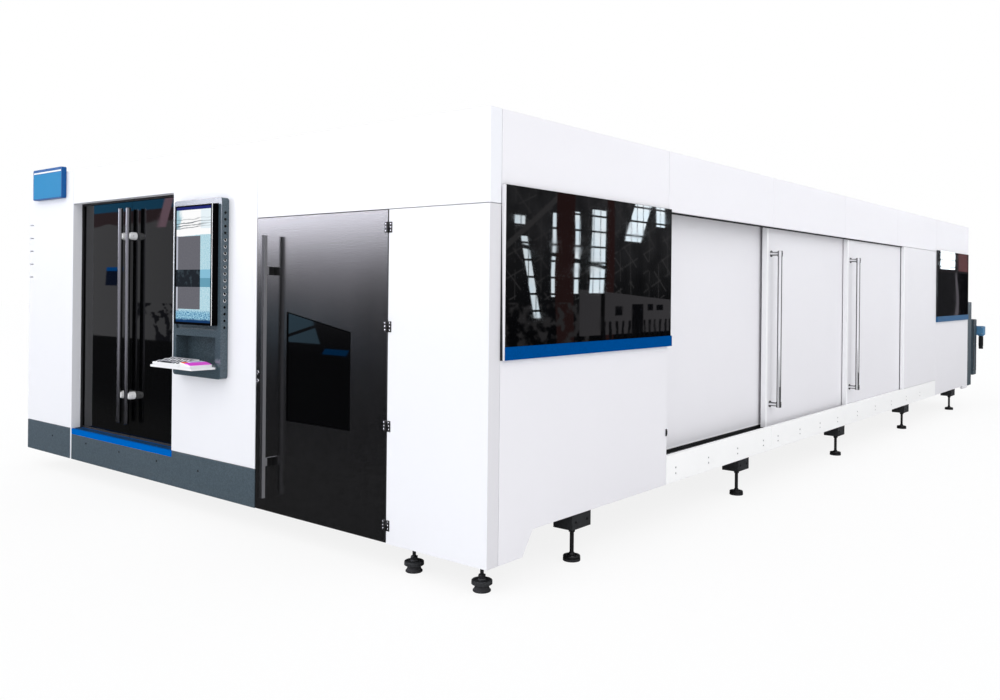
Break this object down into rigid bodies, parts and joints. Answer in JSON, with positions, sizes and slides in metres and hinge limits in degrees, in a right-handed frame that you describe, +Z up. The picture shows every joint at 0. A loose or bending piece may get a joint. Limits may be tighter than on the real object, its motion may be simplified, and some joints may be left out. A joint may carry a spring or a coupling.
{
  "type": "laser cutting machine",
  "caption": "Fully enclosed fiber laser cutting machine for sheet metal: glass front doors, sliding side doors, control console and slatted pallets that change places.",
  "frame": {"origin": "bottom centre of the bounding box, on the floor under the feet", "axes": "+Z up; the front with the glass doors, the console and the black cabinet door faces -Y; the long side with the sliding doors faces +X; the sheets are loaded at the +Y end"},
  "size_m": [4.795, 10.418, 2.29],
  "materials": {
    "panel_white": "satin",
    "side_white": "satin",
    "slate": "satin",
    "blue": "satin",
    "black_paint": "satin",
    "black_glass": "polished",
    "chrome": "polished",
    "dark_steel": "satin",
    "frame_grey": "satin",
    "bare_steel": "brushed",
    "screen": "gloss",
    "light_plastic": "matte",
    "cabinet_grey": "satin"
  },
  "bodies": {
    "enclosure": {"base_frame": "dark_steel", "levelling_feet": "black_paint", "front_feet": "black_paint", "enclosure_frame": "frame_grey", "roof": "side_white", "end_wall": "side_white", "fascia_front": "panel_white", "front_corner_panel": "panel_white", "front_middle_panel": "panel_white", "front_left_panel": "panel_white", "front_plinth": "slate", "door_sill": "blue", "cabinet_door_hinge_plates": "black_paint", "near_side_panel": "side_white", "near_window": "black_glass", "far_side_panel": "side_white", "far_window": "black_glass", "window_strips": "blue", "base_rail_1": "side_white", "base_rail_2": "side_white", "base_rail_3": "side_white", "rear_side_panel": "side_white", "fixed_side_panel": "side_white", "side_door_tracks": "black_paint", "console_housing": "slate", "monitor": "screen", "sign_box": "blue", "control_cabinet": "cabinet_grey", "laser_source": "cabinet_grey", "machine_bed": "frame_grey", "gantry_rails": "bare_steel", "exchange_posts": "frame_grey", "drive_frame": "dark_steel", "lift_motor": "blue", "back_panel_1": "side_white", "back_panel_2": "side_white", "fascia_side_1": "side_white", "fascia_side_2": "side_white", "fascia_side_3": "side_white", "fascia_side_4": "side_white"},
    "cabinet_door": {"cabinet_door": "black_paint", "cabinet_door_window": "black_glass", "cabinet_door_handle": "black_paint", "cabinet_door_hinge_leaves": "black_paint"},
    "glass_leaf_left": {"glass_leaf_left": "black_glass", "glass_handle_left": "chrome"},
    "glass_leaf_right": {"glass_leaf_right": "black_glass", "glass_handle_right": "chrome"},
    "side_door_middle": {"side_door_middle": "side_white", "side_handle_middle": "chrome"},
    "side_door_rear": {"side_door_rear": "side_white", "side_handle_rear": "chrome"},
    "keyboard_tray": {"keyboard_tray": "side_white", "keyboard": "light_plastic"},
    "gantry": {"gantry_beam": "frame_grey"},
    "carriage": {"carriage": "cabinet_grey"},
    "cutting_head": {"cutting_head": "bare_steel"},
    "work_pallet": {"work_pallet": "bare_steel"},
    "exchange_lift": {"exchange_lift": "frame_grey", "waiting_pallet": "bare_steel"}
  },
  "joints": [
    {"name": "cabinet_door_hinge", "type": "hinge", "parent": "enclosure", "child": "cabinet_door", "pos_m": [1.662, -4.99, 0.97], "axis": [0, 0, 1], "range_deg": [0, 110]},
    {"name": "glass_leaf_left_slide", "type": "slide", "parent": "enclosure", "child": "glass_leaf_left", "axis": [-1, 0, 0], "range_m": [0, 0.6]},
    {"name": "glass_leaf_right_slide", "type": "slide", "parent": "enclosure", "child": "glass_leaf_right", "axis": [1, 0, 0], "range_m": [0, 0.56]},
    {"name": "side_door_middle_slide", "type": "slide", "parent": "enclosure", "child": "side_door_middle", "axis": [0, -1, 0], "range_m": [0, 1.6]},
    {"name": "side_door_rear_slide", "type": "slide", "parent": "enclosure", "child": "side_door_rear", "axis": [0, -1, 0], "range_m": [0, 1.55]},
    {"name": "keyboard_tray_hinge", "type": "hinge", "parent": "enclosure", "child": "keyboard_tray", "pos_m": [0.0375, -5.044, 0.922], "axis": [-1, 0, 0], "range_deg": [0, 88]},
    {"name": "gantry_slide", "type": "slide", "parent": "enclosure", "child": "gantry", "axis": [0, 1, 0], "range_m": [-1.45, 1.45]},
    {"name": "carriage_slide", "type": "slide", "parent": "gantry", "child": "carriage", "axis": [1, 0, 0], "range_m": [-0.72, 0.72]},
    {"name": "cutting_head_slide", "type": "slide", "parent": "carriage", "child": "cutting_head", "axis": [0, 0, 1], "range_m": [-0.1, 0]},
    {"name": "work_pallet_slide", "type": "slide", "parent": "enclosure", "child": "work_pallet", "axis": [0, -1, 0], "range_m": [-3.34, 0]},
    {"name": "exchange_lift_slide", "type": "slide", "parent": "enclosure", "child": "exchange_lift", "axis": [0, 0, 1], "range_m": [0, 0.22]}
  ]
}
